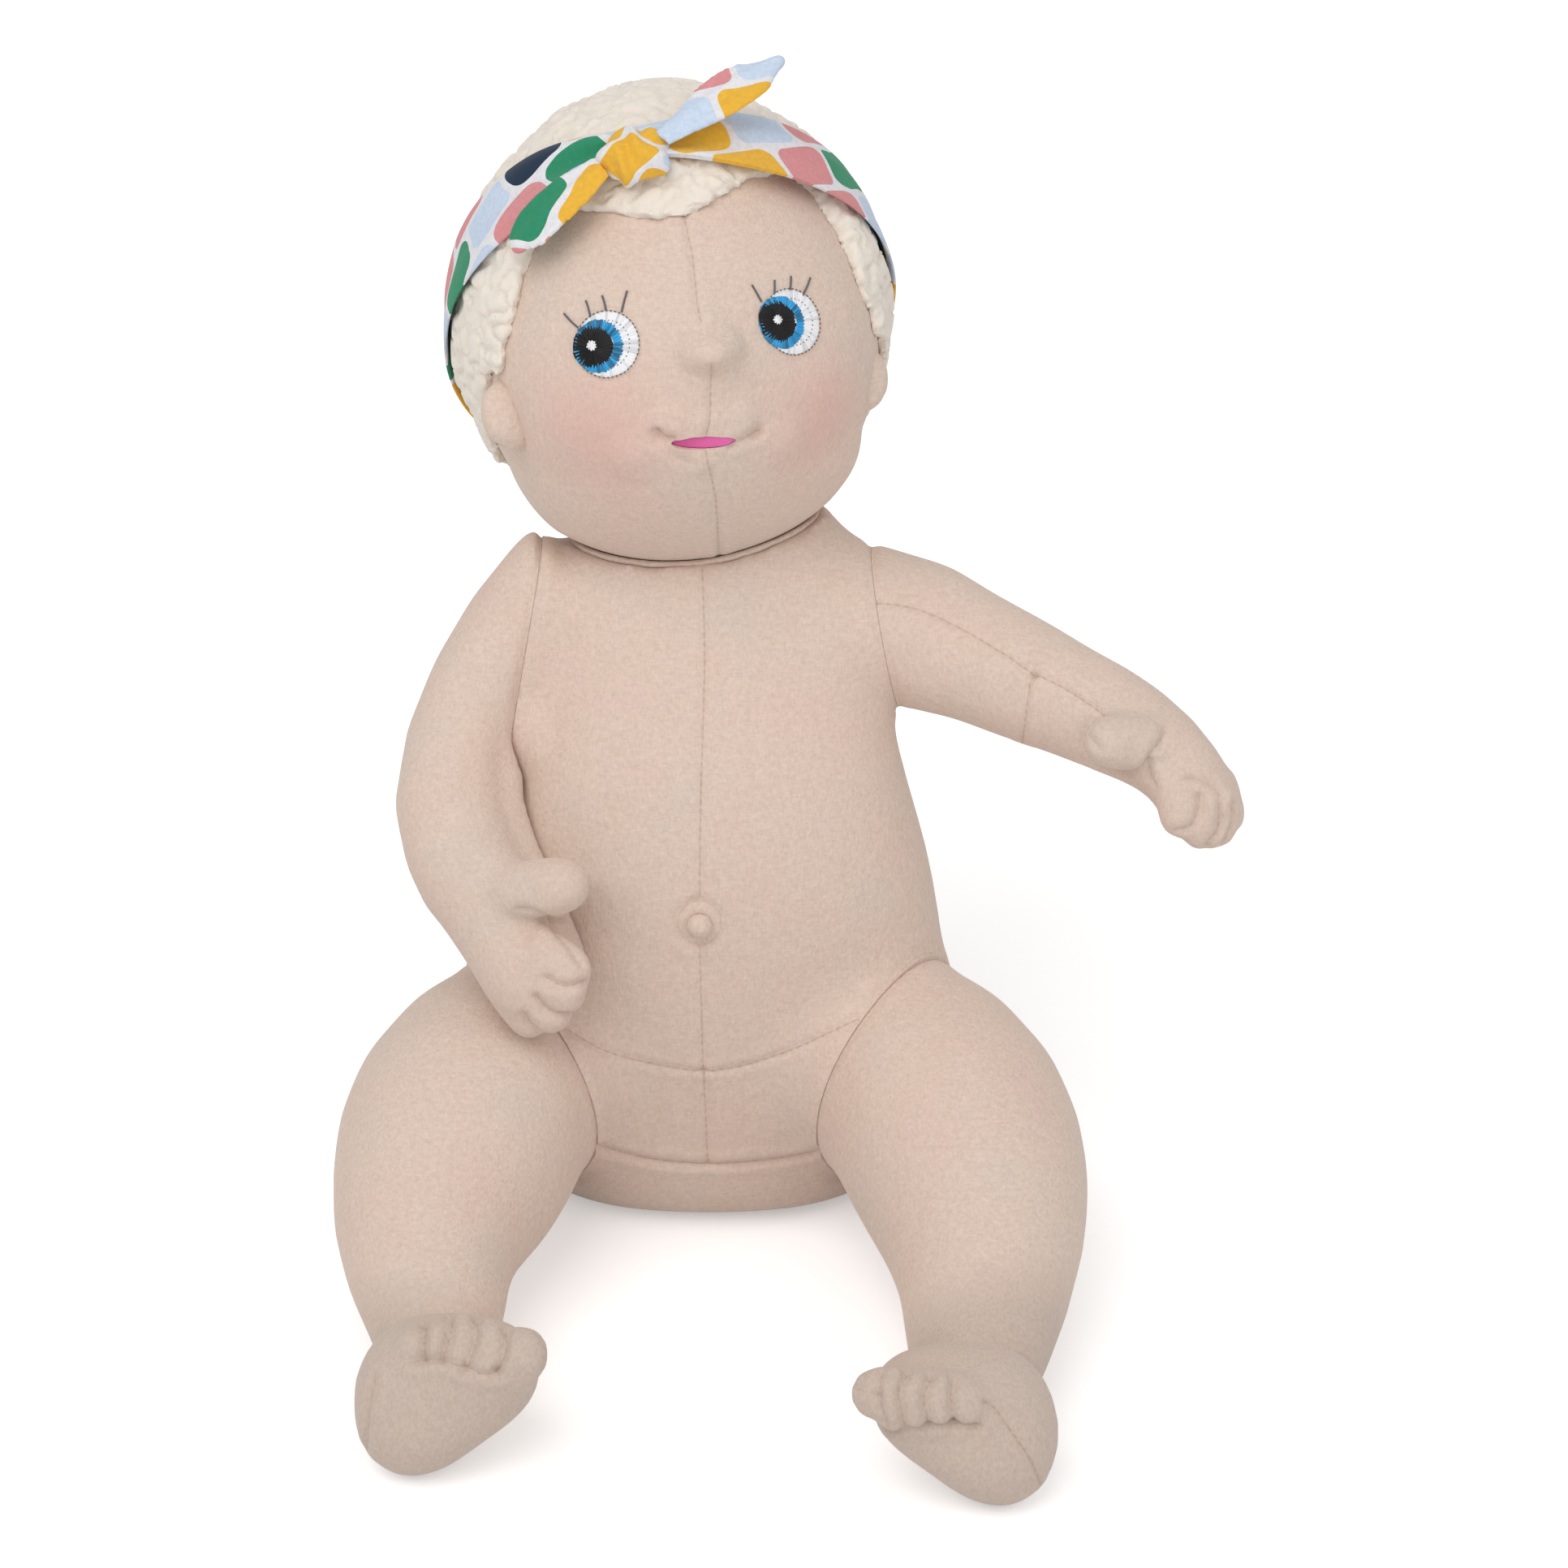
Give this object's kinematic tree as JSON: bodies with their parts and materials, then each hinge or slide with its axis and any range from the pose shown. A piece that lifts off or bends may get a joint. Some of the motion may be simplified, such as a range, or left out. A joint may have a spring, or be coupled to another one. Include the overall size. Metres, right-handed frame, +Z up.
{
  "type": "baby doll",
  "caption": "Soft stuffed cloth baby doll sitting with its legs forward, with an embroidered face, a fleece hair cap and a tied headband.",
  "frame": {"origin": "middle of the flat face that the doll sits on, level with the surface under it", "axes": "+Z up, the doll faces -Y, and its left side is +X"},
  "size_m": [0.2366, 0.2621, 0.3104],
  "materials": {
    "felt": "brushed wool felt, matt",
    "fleece": "curly pile fleece, matt",
    "white_thread": "satin stitch",
    "blue_thread": "satin stitch",
    "black_thread": "satin stitch",
    "pink_cloth": "matt cotton",
    "printed_cotton": "printed plain weave cotton"
  },
  "bodies": {
    "torso_body": {"torso": "felt", "navel": "felt"},
    "neck_body": {"neck_roll": "felt"},
    "head_body": {"head": "felt", "mouth_lining": "pink_cloth", "hair_cap": "fleece", "right_ear": "felt", "left_ear": "felt", "right_eye_white": "white_thread", "right_iris": "blue_thread", "right_pupil": "black_thread", "right_glint": "white_thread", "left_eye_white": "white_thread", "left_iris": "blue_thread", "left_pupil": "black_thread", "left_glint": "white_thread"},
    "headband_body": {"headband_loop": "printed_cotton", "headband_knot": "printed_cotton", "headband_left_tail": "printed_cotton", "headband_right_tail": "printed_cotton"},
    "right_arm_body": {"right_arm": "felt"},
    "left_arm_body": {"left_arm": "felt"},
    "right_leg_body": {"right_leg": "felt", "right_foot": "felt"},
    "left_leg_body": {"left_leg": "felt", "left_foot": "felt"}
  },
  "joints": [
    {"name": "neck_turn", "type": "hinge", "parent": "torso_body", "child": "neck_body", "pos_m": [-0.0085, 0.038, 0.234], "axis": [-0.1087, 0.3343, 0.9362], "range_deg": [-40, 40]},
    {"name": "head_nod", "type": "hinge", "parent": "neck_body", "child": "head_body", "pos_m": [-0.0085, 0.038, 0.234], "axis": [0.9823, 0.187, 0.0112], "range_deg": [-12, 25]},
    {"name": "headband_slide", "type": "slide", "parent": "head_body", "child": "headband_body", "axis": [-0.1716, 0.8738, 0.455], "range_m": [0, 0.08]},
    {"name": "right_shoulder_swing", "type": "hinge", "parent": "torso_body", "child": "right_arm_body", "pos_m": [-0.0465, 0.012, 0.163], "axis": [-0.9833, 0, 0.1822], "range_deg": [0, 60]},
    {"name": "left_shoulder_swing", "type": "hinge", "parent": "torso_body", "child": "left_arm_body", "pos_m": [0.0465, 0.012, 0.163], "axis": [-0.9833, 0, -0.1822], "range_deg": [-45, 60]},
    {"name": "right_hip_swing", "type": "hinge", "parent": "torso_body", "child": "right_leg_body", "pos_m": [-0.048, -0.025, 0.048], "axis": [-0.7786, -0.6014, -0.1791], "range_deg": [-20, 55]},
    {"name": "left_hip_swing", "type": "hinge", "parent": "torso_body", "child": "left_leg_body", "pos_m": [0.048, -0.025, 0.048], "axis": [-0.7786, 0.6014, 0.1791], "range_deg": [-20, 55]}
  ]
}
